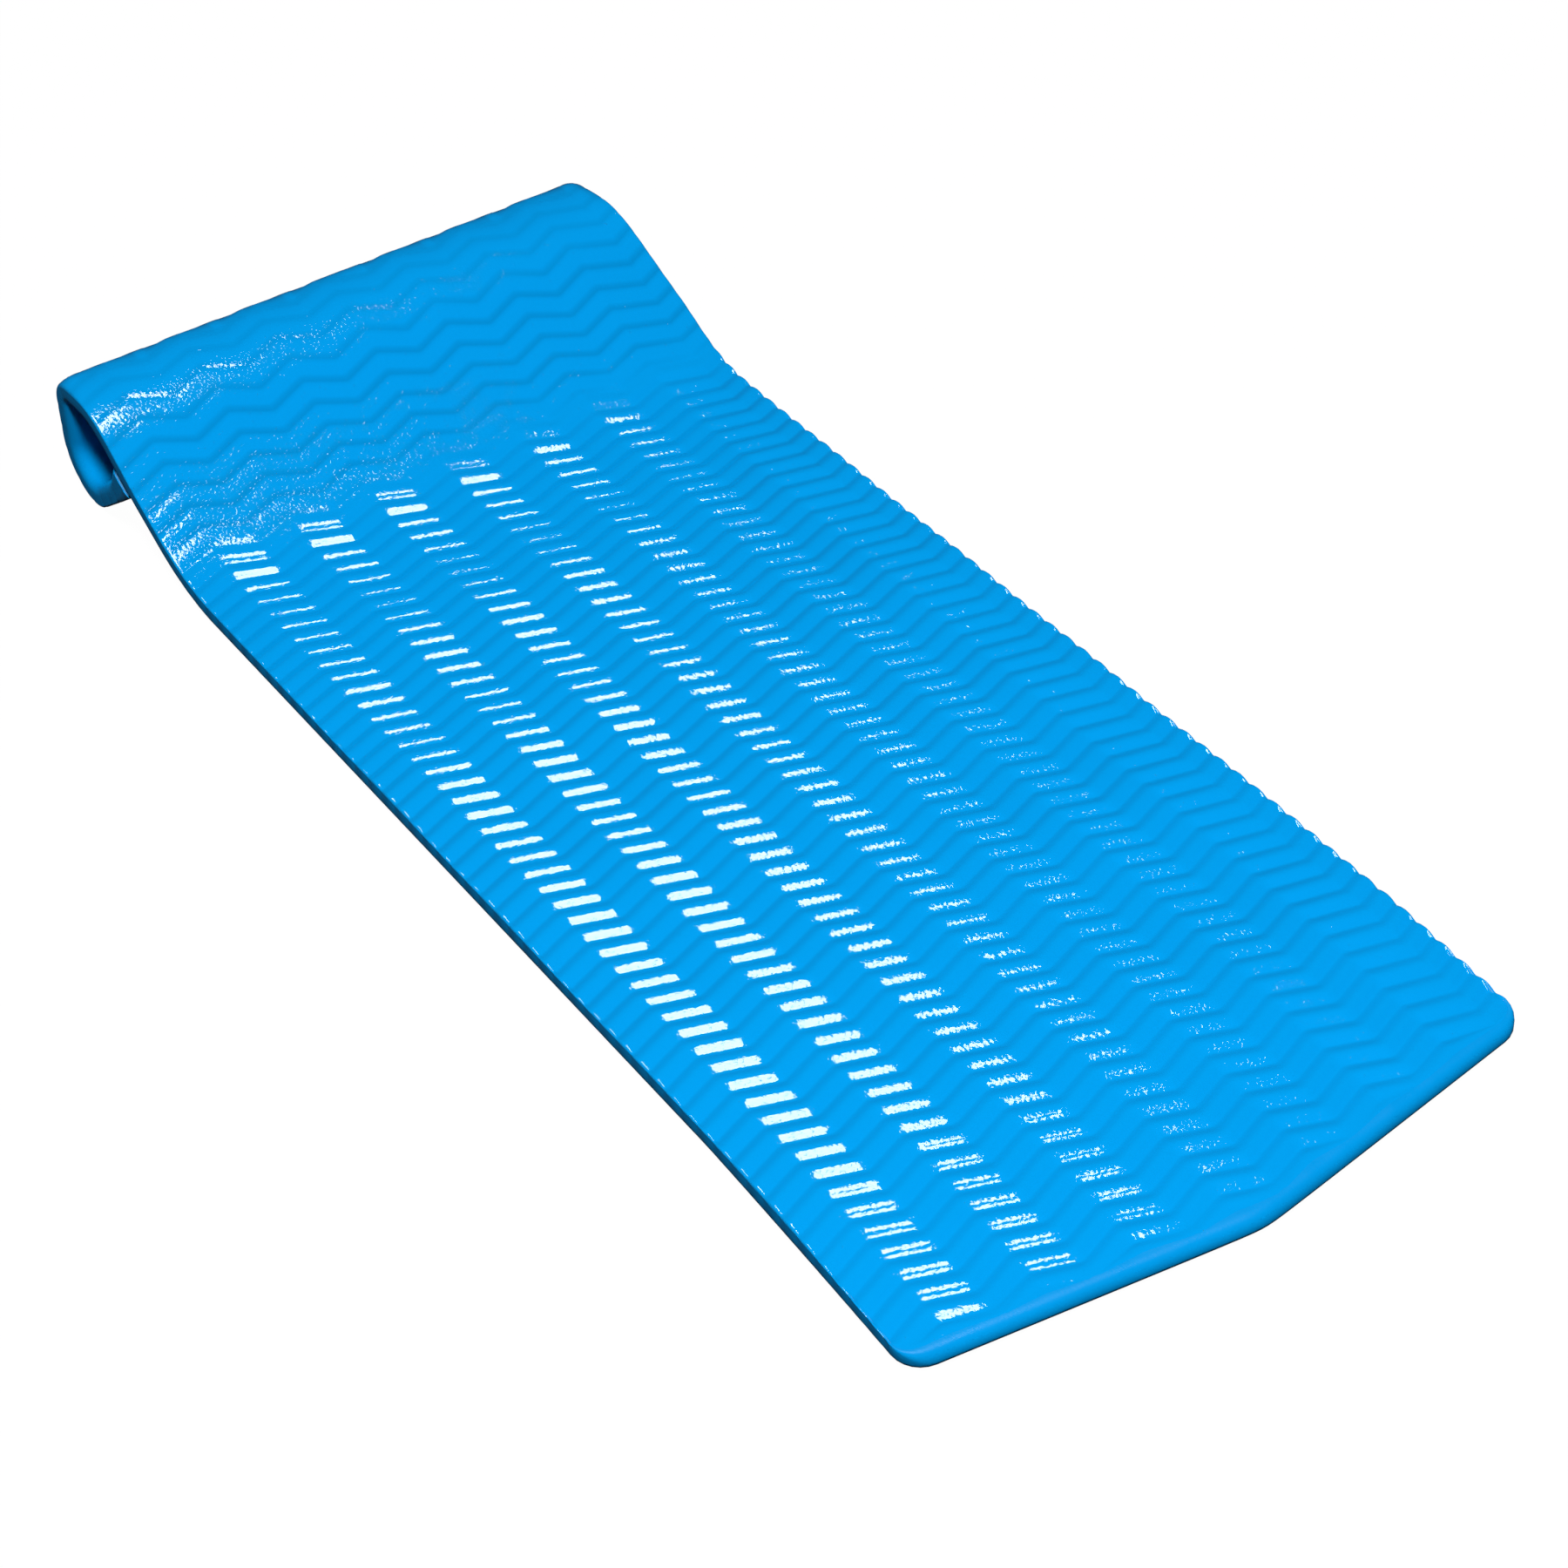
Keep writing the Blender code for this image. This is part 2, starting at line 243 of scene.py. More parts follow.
class MatRoll(bpy.types.PropertyGroup):
    """Bends of the sheet at mid thickness, from the foot to the glued end of the tail."""

    flat_length: FloatProperty(
        name="Flat length", description="From the foot to the rise", default=1.217, unit="LENGTH")
    rise_radius: FloatProperty(
        name="Rise radius", description="Bend at the start of the pillow",
        default=0.205, unit="LENGTH")
    rise_angle: FloatProperty(
        name="Rise angle", description="Turn of the rise",
        default=math.radians(30.7), subtype="ANGLE")
    ramp_length: FloatProperty(
        name="Ramp length", description="Straight slope of the pillow",
        default=0.107, unit="LENGTH")
    crown_radius: FloatProperty(
        name="Crown radius", description="Bend over the pillow's top", default=0.161, unit="LENGTH")
    crown_angle: FloatProperty(
        name="Crown angle", description="Turn of the crown",
        default=math.radians(32.3), subtype="ANGLE")
    shoulder_radius: FloatProperty(
        name="Shoulder radius", description="Bend behind the crown", default=0.021, unit="LENGTH")
    shoulder_angle: FloatProperty(
        name="Shoulder angle", description="Turn of the shoulder",
        default=math.radians(83.0), subtype="ANGLE")
    heel_radius: FloatProperty(
        name="Heel radius", description="Bend at the bottom of the roll",
        default=0.0397, unit="LENGTH")
    heel_angle: FloatProperty(
        name="Heel angle", description="Turn of the heel",
        default=math.radians(130.5), subtype="ANGLE")
    clearance: FloatProperty(
        name="Clearance", description="Lift of the heel off the floor",
        default=0.001, unit="LENGTH")
    bond_room: FloatProperty(
        name="Glue room", description="Gap that the glue line fills", default=0.0021, unit="LENGTH")
    tail_bulge: FloatProperty(
        name="Tail bulge", description="Squeeze of the tail at its end",
        default=0.012, unit="LENGTH")
    tail_bulge_length: FloatProperty(
        name="Tail bulge length", description="Length of the squeezed end",
        default=0.045, unit="LENGTH")
    crest_lift: FloatProperty(
        name="Crest lift", description="How far the pillow's crest plumps up",
        default=0.0095, unit="LENGTH")
    crest_sag: FloatProperty(
        name="Crest sag", description="How far the crest's two ends droop",
        default=0.006, unit="LENGTH")
    sag_length: FloatProperty(
        name="Sag length", description="Length of the crest's drooping ends",
        default=0.015, unit="LENGTH")
    crest_draw: FloatProperty(
        name="Crest draw", description="How far the crest's +X end draws in",
        default=0.020, unit="LENGTH")


class MatFinish(bpy.types.PropertyGroup):
    """Colours of the vinyl, the foam and the glue."""

    top_blue: FloatVectorProperty(
        name="Ribbed vinyl", description="Colour of the ribbed skin", subtype="COLOR", size=4,
        min=0.0, max=1.0, default=(0.0, 0.335, 0.82, 1.0))
    under_blue: FloatVectorProperty(
        name="Smooth vinyl", description="Colour of the smooth skin", subtype="COLOR", size=4,
        min=0.0, max=1.0, default=(0.0, 0.30, 0.74, 1.0))
    foam_blue: FloatVectorProperty(
        name="Foam", description="Colour of the foam", subtype="COLOR", size=4,
        min=0.0, max=1.0, default=(0.10, 0.42, 0.78, 1.0))
    glue_amber: FloatVectorProperty(
        name="Glue", description="Colour of the glue line", subtype="COLOR", size=4,
        min=0.0, max=1.0, default=(0.75, 0.62, 0.36, 1.0))
    floor_white: FloatVectorProperty(
        name="Floor", description="Colour of the floor", subtype="COLOR", size=4,
        min=0.0, max=1.0, default=(0.985, 0.985, 0.985, 1.0))


class MatStage(bpy.types.PropertyGroup):
    """Camera and lamps."""

    camera_place: FloatVectorProperty(
        name="Camera", description="Place of the camera", subtype="TRANSLATION",
        default=(-1.336, -2.2705, 2.157))
    camera_aim: FloatVectorProperty(
        name="Aim", description="Point that the camera looks at", subtype="TRANSLATION",
        default=(-0.0041, -0.0911, 0.0))
    camera_roll: FloatProperty(
        name="Roll", description="Turn about the line of sight",
        default=math.radians(-4.044), subtype="ANGLE")
    lens: FloatProperty(
        name="Lens", description="Focal length in millimetres", default=83.4, unit="CAMERA")
    key_power: FloatProperty(
        name="Key light", description="Power of the softbox that lights the mat",
        default=475.0, unit="POWER")
    strip_power: FloatProperty(
        name="Far softbox", description="Power of the far lamp that the gloss mirrors",
        default=460.0, unit="POWER")
    ambient: FloatProperty(
        name="Ambient", description="Soft light from all round", default=0.05)


def smooth_step(value):
    """0 up to 0, 1 from 1 on, smooth between them."""
    share = min(1.0, max(0.0, value))
    return share * share * (3 - 2 * share)


def grown(value, start, length):
    """0 up to a start, 1 from a length further on, smooth between them."""
    return smooth_step((value - start) / length)


def softened(value, soft):
    """The value, with its corner at zero rounded over a half width."""
    return (value * value / soft + soft) / 2 if value < soft else value


class BendPath:
    """Mid-thickness line of the sheet in the YZ plane, as straights and arcs."""

    def __init__(self, height):
        self.runs = []
        self.length = 0.0
        self.heading = 0.0
        self.point = Vector((0.0, height))

    def straight(self, length):
        """Add a straight run."""
        self.runs.append((self.length, self.point.copy(), self.heading, 0.0))
        self.point = self.point + self.direction(self.heading) * length
        self.length += length

    def arc(self, radius, turn):
        """Add a bend, upward if its turn is positive."""
        curvature = math.copysign(1.0 / radius, turn)
        self.runs.append((self.length, self.point.copy(), self.heading, curvature))
        start_normal = self.normal(self.heading)
        self.heading += turn
        self.point = self.point + (start_normal - self.normal(self.heading)) / curvature
        self.length += radius * abs(turn)

    @staticmethod
    def direction(heading):
        """Unit vector along a heading."""
        return Vector((math.cos(heading), math.sin(heading)))

    @staticmethod
    def normal(heading):
        """Unit vector to the upper side of the sheet at a heading."""
        return Vector((-math.sin(heading), math.cos(heading)))

    def frame(self, along):
        """Point and upper-side normal at a distance along the sheet."""
        reached = [run for run in self.runs if run[0] <= along]
        start, point, heading, curvature = reached[-1] if reached else self.runs[0]
        step = along - start
        if curvature == 0.0:
            return point + self.direction(heading) * step, self.normal(heading)
        turned = heading + step * curvature
        centre = point + self.normal(heading) / curvature
        return centre - self.normal(turned) / curvature, self.normal(turned)


class RolledSheet:
    """Bend path of the mat, with the tail's length and the slope of its cut end."""

    def __init__(self, sheet, roll):
        self.middle = sheet.thickness / 2
        path = BendPath(self.middle)
        path.straight(roll.flat_length)
        path.arc(roll.rise_radius, roll.rise_angle)
        down = -path.normal(path.heading)
        ramp_underside = path.point + down * self.middle
        path.straight(roll.ramp_length)
        path.arc(roll.crown_radius, -roll.crown_angle)
        path.arc(roll.shoulder_radius, -roll.shoulder_angle)
        # The back runs straight down until the heel below it just clears the floor.
        hub = path.point - path.normal(path.heading) * roll.heel_radius
        drop = hub.y - roll.heel_radius - self.middle - roll.clearance
        path.straight(drop / -path.direction(path.heading).y)
        path.arc(roll.heel_radius, -roll.heel_angle)
        # The tail runs on until only the glue fits between it and the ramp's underside.
        towards = path.direction(path.heading)
        clear = (path.point - ramp_underside).dot(down) - roll.bond_room
        path.straight(clear / -towards.dot(down))
        self.mitre = math.atan2(-down.dot(path.normal(path.heading)), -down.dot(towards))
        self.path = path

    def place(self, x, along, height):
        """World place of a point of the flat sheet; height is from the sheet's underside."""
        point, normal = self.path.frame(along)
        spot = point + normal * (height - self.middle)
        return Vector((x, spot.x + FOOT_Y, spot.y))


class Column:
    """One lengthwise line of the sheet. The outermost ones fan round the foot's corners."""

    def __init__(self, plan, x=None, side=0, angle=None):
        self.x = x
        self.side = side
        self.angle = angle
        share = 0.0
        if angle is not None:
            share = grown(angle, plan.slope, math.pi / 2 - plan.slope)
        self.rim = plan.foot_rim + (plan.side_rim - plan.foot_rim) * share
        self.top_x = plan.across(self, self.rim)
        self.shift = plan.chevron(self.top_x)
        border = plan.foot_line(self, plan.sheet.foot_border)
        self.first_row = plan.row_after(border - min(0.0, self.shift))


class SheetPlan:
    """Places of the sheet's columns, rows and depth layers, flat and rolled."""

    def __init__(self, sheet, roll, inset, phases, lap):
        self.sheet = sheet
        self.roll = roll
        self.rolled = RolledSheet(sheet, roll)
        self.crown_start = roll.flat_length + roll.rise_radius * roll.rise_angle + roll.ramp_length
        self.inset = inset
        self.lap = lap
        self.phases = phases
        self.rows = self.row_after(self.rolled.path.length) - 1
        self.half = sheet.width / 2 - inset
        self.slope = math.atan2(sheet.foot_point, sheet.width / 2)
        self.foot_rim = sheet.foot_rim - inset
        self.side_rim = sheet.side_rim - inset
        self.low_rim = sheet.low_rim - inset
        self.corner = sheet.corner_radius - inset
        self.hub_x = sheet.width / 2 - sheet.corner_radius
        self.hub_s = self.point_line(self.hub_x) + sheet.corner_radius / math.cos(self.slope)
        self.columns = self.make_columns()

    def row_along(self, row):
        """Place of a row along a sheet with straight ribs."""
        ribs, part = divmod(row, len(self.phases))
        return (ribs - 1 + self.phases[part]) * self.sheet.rib_pitch

    def row_after(self, along):
        """First row at or past a place."""
        ribs, part = divmod(along / self.sheet.rib_pitch + 1, 1.0)
        return round(ribs) * len(self.phases) + sum(phase < part for phase in self.phases)

    def point_line(self, x):
        """Outline of the foot as a shallow V with a softened point."""
        softened_x = math.hypot(x, self.sheet.point_rounding)
        return math.tan(self.slope) * softened_x - self.sheet.foot_reach

    def bend(self, number):
        """Place across the mat of one bend of the ribs."""
        sheet = self.sheet
        return sheet.chevron_shift + sheet.chevron_period * (number / 2 - 0.25)

    def chevron(self, x):
        """Shift of a rib along the sheet: a zigzag across the width, with rounded bends."""
        sheet = self.sheet
        flank = sheet.chevron_period / 2
        number = round((x - self.bend(0)) / flank)
        off = softened(abs(x - self.bend(number)), sheet.chevron_rounding)
        sign = 1 if number % 2 == 0 else -1
        return sheet.rib_start + sign * (1 - 2 * off / flank) * sheet.chevron_depth / 2

    def make_columns(self):
        """Columns from -X to +X: at the ribs' bends, by the point, and fanned at the corners."""
        sheet = self.sheet
        flank = sheet.chevron_period / 2
        soft = sheet.chevron_rounding
        limit = self.hub_x - BEND_STEPS[-1] * soft
        lowest = math.ceil((-limit - self.bend(0)) / flank)
        highest = math.floor((limit - self.bend(0)) / flank)
        places = [soft * step for step in POINT_STEPS]
        for number in range(lowest, highest + 1):
            places += [self.bend(number) + soft * step for step in BEND_STEPS]
        quarter = math.pi / 2 - self.slope
        fan = [self.slope + quarter * step / CORNER_STEPS for step in range(CORNER_STEPS + 1)]
        columns = [Column(self, side=-1, angle=angle) for angle in reversed(fan)]
        columns += [Column(self, x=place) for place in sorted(places)]
        columns += [Column(self, side=1, angle=angle) for angle in fan]
        return columns

    def across(self, column, inset):
        """Place of a column across the mat, at an inset from the outline."""
        if column.angle is None:
            return column.x
        return column.side * (self.hub_x + (self.corner - inset) * math.sin(column.angle))

    def foot_line(self, column, inset):
        """Where a column starts at the foot, at an inset from the outline."""
        if column.angle is None:
            return self.point_line(column.x) + (inset + self.inset) / math.cos(self.slope)
        return self.hub_s - (self.corner - inset) * math.cos(column.angle)

    def rim(self, column, layer):
        """Inset and height of an edge's profile at one depth layer."""
        low = self.inset
        high = self.sheet.thickness - self.inset
        if layer <= TOP_STEPS:
            turn = math.pi / 2 * layer / TOP_STEPS
            return column.rim * (1 - math.sin(turn)), high - column.rim * (1 - math.cos(turn))
        if layer < TOP_STEPS + WALL_STEPS:
            share = (layer - TOP_STEPS) / WALL_STEPS
            return 0.0, (high - column.rim) * (1 - share) + (low + self.low_rim) * share
        turn = math.pi / 2 * (layer - TOP_STEPS - WALL_STEPS) / LOW_STEPS
        return self.low_rim * (1 - math.cos(turn)), low + self.low_rim * (1 - math.sin(turn))

    def inland(self, x, along):
        """Distance from the foot's outline."""
        return (along - self.point_line(x)) * math.cos(self.slope)

    def crowned(self, along):
        """0 before the pillow's crown, 1 on it."""
        return grown(along - self.crown_start, *CROWNED)

    def ramped(self, along):
        """0 on the flat, 1 from early in the rise on."""
        return grown(along - self.roll.flat_length, *WORN)

    def wave(self, phase, along):
        """0 on a rib's crown, 1 in its groove. The grooves are slim on the pillow's crown."""
        crown = self.sheet.crown_softness
        groove = self.sheet.groove_softness
        off = abs(phase - round(phase))
        climb = softened(off, crown) - softened(0.5 - off, groove) + 0.5 - off
        broad = (climb - crown / 2) / (0.5 - crown / 2 - groove / 2)
        slim = smooth_step(1 - (0.5 - off) / self.sheet.crown_groove)
        return broad + (slim - broad) * self.crowned(along)

    def ribs(self, x, along):
        """Share of the full rib height: none on the foot's border, less on the pillow."""
        sheet = self.sheet
        full = grown(self.inland(x, along), sheet.foot_border, sheet.rib_fade)
        worn = (1 - sheet.ramp_ribs) * self.ramped(along)
        worn += (sheet.ramp_ribs - sheet.crown_ribs) * self.crowned(along)
        return full * (1 - worn)

    def groove(self, x, along, phase):
        """Depth of the ribbed top below the crowns of its ribs."""
        return self.sheet.rib_height * self.ribs(x, along) * self.wave(phase, along)

    def droop(self, x, along):
        """How far the top sinks toward the foot."""
        share = max(0.0, 1 - self.inland(x, along) / self.sheet.droop_length)
        return self.sheet.foot_droop * share * share

    def bulge(self, along):
        """Growth of the tail toward its glued end, on the side that faces the hollow."""
        length = self.roll.tail_bulge_length
        return self.roll.tail_bulge * grown(along, self.rolled.path.length - length, length)

    def flat_place(self, c, r, layer):
        """Place across, along and above the flat sheet's underside, and the phase of its rib."""
        column = self.columns[c]
        inset, height = self.rim(column, layer)
        x = self.across(column, inset)
        start = self.foot_line(column, inset)
        shift = column.shift * max(0.0, 1 - layer / (TOP_STEPS + WALL_STEPS))
        first_along = self.row_along(column.first_row) + shift
        last = self.rows - TAIL_ROWS
        if r < column.first_row:
            along = start + (first_along - start) * r / column.first_row
            phase = (along - shift) / self.sheet.rib_pitch
        else:
            row = self.row_along(min(r, last))
            along = row + shift
            phase = row / self.sheet.rib_pitch
        # The grooves fade out halfway round the lower rounding, and the bulge grows down the wall.
        sink = max(0.0, 1 - layer / (TOP_STEPS + WALL_STEPS + LOW_STEPS / 2))
        bulge_share = min(1.0, layer / (TOP_STEPS + WALL_STEPS))
        if r > last:
            # The last rows close in on the sloped cut of the tail.
            length = self.rolled.path.length
            middle = self.rolled.middle
            crossing = length - (height - middle) * math.tan(self.rolled.mitre)
            end_phase = (crossing - shift) / self.sheet.rib_pitch
            end_height = height - self.groove(x, crossing, end_phase) * sink
            end_height -= self.bulge(length) * bulge_share
            end = length - (end_height - middle) * math.tan(self.rolled.mitre)
            along += (end - along) * (r - last) / TAIL_ROWS
            phase = (along - shift) / self.sheet.rib_pitch
        depth = self.groove(x, along, phase) * sink
        height -= depth + self.droop(x, along) * sink + self.bulge(along) * bulge_share
        if column.side:
            edge = ((abs(x) - self.hub_x) / self.corner) ** SCALLOP_POWER
            x -= column.side * self.sheet.side_scallop * edge * depth / self.sheet.rib_height
        if r <= LAP_ROWS and layer <= TOP_STEPS:
            height += self.lap * (1 - layer / TOP_STEPS)
        return x, along, height, phase

    def world_place(self, x, along, height):
        """Place on the rolled sheet, with the pillow's crest plumped up and its ends soft."""
        roll = self.roll
        spot = self.rolled.place(x, along, height)
        past_ramp = along - self.crown_start
        high = grown(spot.z, *RAISED)
        crest = grown(past_ramp, *LIFTED)
        sag = grown(past_ramp, *DROOPED)
        edge = max(0.0, 1 - (self.half - abs(x)) / roll.sag_length)
        spot.z += high * (crest * roll.crest_lift - sag * roll.crest_sag * edge * edge)
        drawn = grown(past_ramp, *DRAWN) * max(0.0, x) / self.half
        sway = max(0.0, 1 - self.inland(x, along) / self.sheet.sway_length)
        spot.x -= roll.crest_draw * drawn + self.sheet.foot_sway * min(1.0, sway) ** SWAY_POWER
        return spot

    def swell(self, x, along):
        """Long, low waves of the soft sheet where it lies flat."""
        short, long = (math.sin(along * lengthwise + x * sideways + first)
                       for lengthwise, sideways, first in (SHORT_WAVE, LONG_WAVE))
        calm = grown(self.roll.flat_length - along, *CALMED)
        held = HELD_SHARE * grown(-x, *HELD_SIDE) * grown(along, *HELD_END)
        return self.sheet.swell * calm * (short * (1 - held) + LONG_WAVE_SHARE * long)

    def crease(self, along, phase):
        """Mask of the wrinkles and of the painted shade: up to 1 on the pillow, at the foot of each
        rib's front, where its skin is pressed together.
        """
        squeeze_shade = grown(along - self.roll.flat_length, *SQUEEZED_AND_SHADED)
        squeeze_shade *= 1 - SHADED_CREASE_LOSS * self.crowned(along)
        off = abs(phase - math.floor(phase) - SHADED_CREASE_PHASE)
        return squeeze_shade * smooth_step(1 - off / SHADED_CREASE_REACH)

    def kind(self, face):
        """Which part of the sheet a face belongs to, by its columns, rows and layers."""
        columns = {round(vertex.co.x) for vertex in face.verts}
        rows = {round(vertex.co.y) for vertex in face.verts}
        layers = {round(-vertex.co.z) for vertex in face.verts}
        if rows == {self.rows}:
            return CUT_FACE
        if layers == {0}:
            return LAP_FACE if max(rows) <= LAP_ROWS else TOP_FACE
        on_side = columns == {0} or columns == {len(self.columns) - 1}
        return TOP_FACE if on_side and max(layers) <= TOP_STEPS else UNDER_FACE


def grid_block(columns, rows):
    """Closed block whose x, y and -z count the sheet's columns, rows and depth layers."""
    bm = bmesh.new()
    bmesh.ops.create_grid(bm, x_segments=columns, y_segments=rows, size=0.5)
    bmesh.ops.translate(bm, vec=(0.5, 0.5, 0.0), verts=bm.verts)
    bmesh.ops.scale(bm, vec=(columns, rows, 1.0), verts=bm.verts)
    lower = bmesh.ops.extrude_face_region(bm, geom=bm.faces[:])["geom"]
    lower_verts = [item for item in lower if isinstance(item, bmesh.types.BMVert)]
    bmesh.ops.translate(bm, vec=(0.0, 0.0, -LAYERS), verts=lower_verts)
    upright = [edge for edge in bm.edges if abs(edge.verts[0].co.z - edge.verts[1].co.z) > 0.5]
    bmesh.ops.subdivide_edges(bm, edges=upright, cuts=LAYERS - 1)
    return bm


def sheet_block(plan):
    """The whole sheet as one closed body in its rolled place, its faces tagged by kind."""
    bm = grid_block(len(plan.columns) - 1, plan.rows)
    # Mask of the wrinkles and of the painted shade that darkens the ribbed skin's colour.
    crease = bm.verts.layers.float.new("crease")
    flat_map = bm.loops.layers.uv.new("Flat sheet")
    for face in bm.faces:
        face.material_index = plan.kind(face)
    inner = set()
    places = {}
    for vertex in bm.verts:
        c, r, layer = round(vertex.co.x), round(vertex.co.y), round(-vertex.co.z)
        x, along, height, phase = plan.flat_place(c, r, layer)
        places[vertex.index] = (x, along - plan.columns[c].shift)
        share = max(0.0, 1 - layer / (TOP_STEPS + WALL_STEPS))
        vertex[crease] = plan.crease(along, phase) * share
        vertex.co = plan.world_place(x, along, height)
        vertex.co.z += plan.swell(x, along) * share
        wide = BORDER_COLUMNS <= c < len(plan.columns) - BORDER_COLUMNS
        if layer == LAYERS and wide and BORDER_ROWS <= r <= plan.rows - TAIL_ROWS:
            inner.add(vertex.index)
    for face in bm.faces:
        for loop in face.loops:
            loop[flat_map].uv = places[loop.vert.index]
    bmesh.ops.recalc_face_normals(bm, faces=bm.faces)
    verts = [vertex for vertex in bm.verts if vertex.index in inner]
    edges = [edge for edge in bm.edges if all(vertex.index in inner for vertex in edge.verts)]
    bmesh.ops.dissolve_limit(bm, angle_limit=MERGE_ANGLE, verts=verts, edges=edges)
    return bm


def keep_faces(bm, kinds):
    """Keep only some kinds of face, with a crisp rim round them."""
    spare = [face for face in bm.faces if face.material_index not in kinds]
    bmesh.ops.delete(bm, geom=spare, context="FACES")
    for edge in bm.edges:
        edge.smooth = not edge.is_boundary


def new_piece(name, bm, material, node):
    """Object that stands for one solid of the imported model."""
    mesh = bpy.data.meshes.new(name)
    for face in bm.faces:
        face.material_index = 0
        face.smooth = True
    bm.to_mesh(mesh)
    bm.free()
    mesh.materials.append(material)
    piece = bpy.data.objects.new(name, mesh)
    bpy.context.scene.collection.objects.link(piece)
    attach(piece, BODY)
    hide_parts(node)
    return piece


def add_coat(piece, thickness):
    """Give a skin its thickness, inward."""
    coat = piece.modifiers.new("Vinyl thickness", "SOLIDIFY")
    coat.thickness = thickness
    coat.offset = -1.0
    coat.use_rim = True


def feed(tree, value, socket):
    """Give an input a number or colour of its own, or another node's result."""
    if isinstance(value, bpy.types.NodeSocket):
        tree.links.new(value, socket)
    else:
        socket.default_value = value


def add_node(tree, kind, place, **values):
    """New node; values are its own settings, or feed its inputs by name."""
    node = tree.nodes.new(kind)
    node.location = place
    for name, value in values.items():
        if hasattr(node, name):
            setattr(node, name, value)
        else:
            feed(tree, value, node.inputs[name.replace("_", " ").title()])
    return node


def add_math(tree, operation, place, *values):
    """Result of a maths node that the values feed in turn."""
    node = add_node(tree, "ShaderNodeMath", place, operation=operation)
    for value, socket in zip(values, node.inputs):
        feed(tree, value, socket)
    return node.outputs[0]


def add_noise(tree, place, **values):
    """Result of a noise texture."""
    return add_node(tree, "ShaderNodeTexNoise", place, **values).outputs["Fac"]


def new_group(name, inputs, outputs):
    """Empty node group with named sockets."""
    tree = bpy.data.node_groups.new(name, "ShaderNodeTree")
    for label, kind, default in inputs:
        socket = tree.interface.new_socket(label, in_out="INPUT", socket_type=kind)
        socket.default_value = default
    for label, kind in outputs:
        tree.interface.new_socket(label, in_out="OUTPUT", socket_type=kind)
    entry = add_node(tree, "NodeGroupInput", (-900, 0))
    leave = add_node(tree, "NodeGroupOutput", (700, 0))
    return tree, entry, leave


def colour_drift_group():
    """Soft light and dark clouds in a colour."""
    name = "Colour drift"
    if name in bpy.data.node_groups:
        return bpy.data.node_groups[name]
    tree, entry, leave = new_group(
        name,
        [("Colour", "NodeSocketColor", (0.5, 0.5, 0.5, 1.0)),
         ("Clouds per metre", "NodeSocketFloat", 6.0),
         ("Amount", "NodeSocketFloat", 0.05)],
        [("Colour", "NodeSocketColor")])
    spot = add_node(tree, "ShaderNodeTexCoord", (-900, -220)).outputs["Object"]
    clouds = entry.outputs["Clouds per metre"]
    cloud = add_noise(tree, (-700, -160), vector=spot, scale=clouds, detail=3.0, roughness=0.55)
    centred = add_math(tree, "SUBTRACT", (-500, -160), cloud, 0.5)
    scaled = add_math(tree, "MULTIPLY", (-320, -160), centred, entry.outputs["Amount"])
    gain = add_math(tree, "ADD", (-140, -160), scaled, 1.0)
    tint = add_node(tree, "ShaderNodeVectorMath", (240, 0), operation="SCALE",
                    vector=entry.outputs["Colour"], scale=gain)
    feed(tree, tint.outputs[0], leave.inputs["Colour"])
    return tree


def grain_group():
    """Height of a fine two-scale grain with scattered specks, in metres."""
    name = "Fine grain"
    if name in bpy.data.node_groups:
        return bpy.data.node_groups[name]
    tree, entry, leave = new_group(
        name,
        [("Grains per metre", "NodeSocketFloat", 700.0), ("Height", "NodeSocketFloat", 0.00002)],
        [("Height", "NodeSocketFloat")])
    spot = add_node(tree, "ShaderNodeTexCoord", (-900, -220)).outputs["Object"]
    grains = entry.outputs["Grains per metre"]
    fine = add_noise(tree, (-700, -60), vector=spot, scale=grains, detail=0.0)
    coarse_grains = add_math(tree, "MULTIPLY", (-900, -420), grains, COARSE_GRAINS)
    coarse = add_noise(tree, (-700, -360), vector=spot, scale=coarse_grains, detail=1.0,
                       roughness=0.5)
    speck_grains = add_math(tree, "MULTIPLY", (-900, -640), grains, SPECK_GRAINS)
    speck = add_noise(tree, (-700, -640), vector=spot, scale=speck_grains, detail=0.0)
    raised_speck = add_node(tree, "ShaderNodeMapRange", (-480, -640), value=speck, from_min=0.60,
                            from_max=0.72, to_max=0.35)
    both = add_math(tree, "ADD", (-480, -160), fine, coarse)
    all_three = add_math(tree, "ADD", (-380, -320), both, raised_speck.outputs[0])
    raised = add_math(tree, "MULTIPLY", (-280, -160), all_three, entry.outputs["Height"])
    feed(tree, raised, leave.inputs["Height"])
    return tree


def gloss_drift_group():
    """Roughness that wanders between two values."""
    name = "Gloss drift"
    if name in bpy.data.node_groups:
        return bpy.data.node_groups[name]
    tree, entry, leave = new_group(
        name,
        [("Smoothest", "NodeSocketFloat", 0.1),
         ("Roughest", "NodeSocketFloat", 0.3),
         ("Patches per metre", "NodeSocketFloat", 30.0)],
        [("Roughness", "NodeSocketFloat")])
    spot = add_node(tree, "ShaderNodeTexCoord", (-900, -220)).outputs["Object"]
    patches = entry.outputs["Patches per metre"]
    patch = add_noise(tree, (-700, -60), vector=spot, scale=patches, detail=4.0, roughness=0.6)
    spread = add_node(tree, "ShaderNodeMapRange", (-440, -60), value=patch, from_min=0.3,
                      from_max=0.7, to_min=entry.outputs["Smoothest"],
                      to_max=entry.outputs["Roughest"])
    feed(tree, spread.outputs[0], leave.inputs["Roughness"])
    return tree


def place_group(tree, group, place, **values):
    """Node group in a material, under the group's name and with its own values."""
    node = add_node(tree, "ShaderNodeGroup", place, node_tree=group, name=group.name)
    for name, value in values.items():
        node.inputs[name.replace("_", " ")].default_value = value
    return node


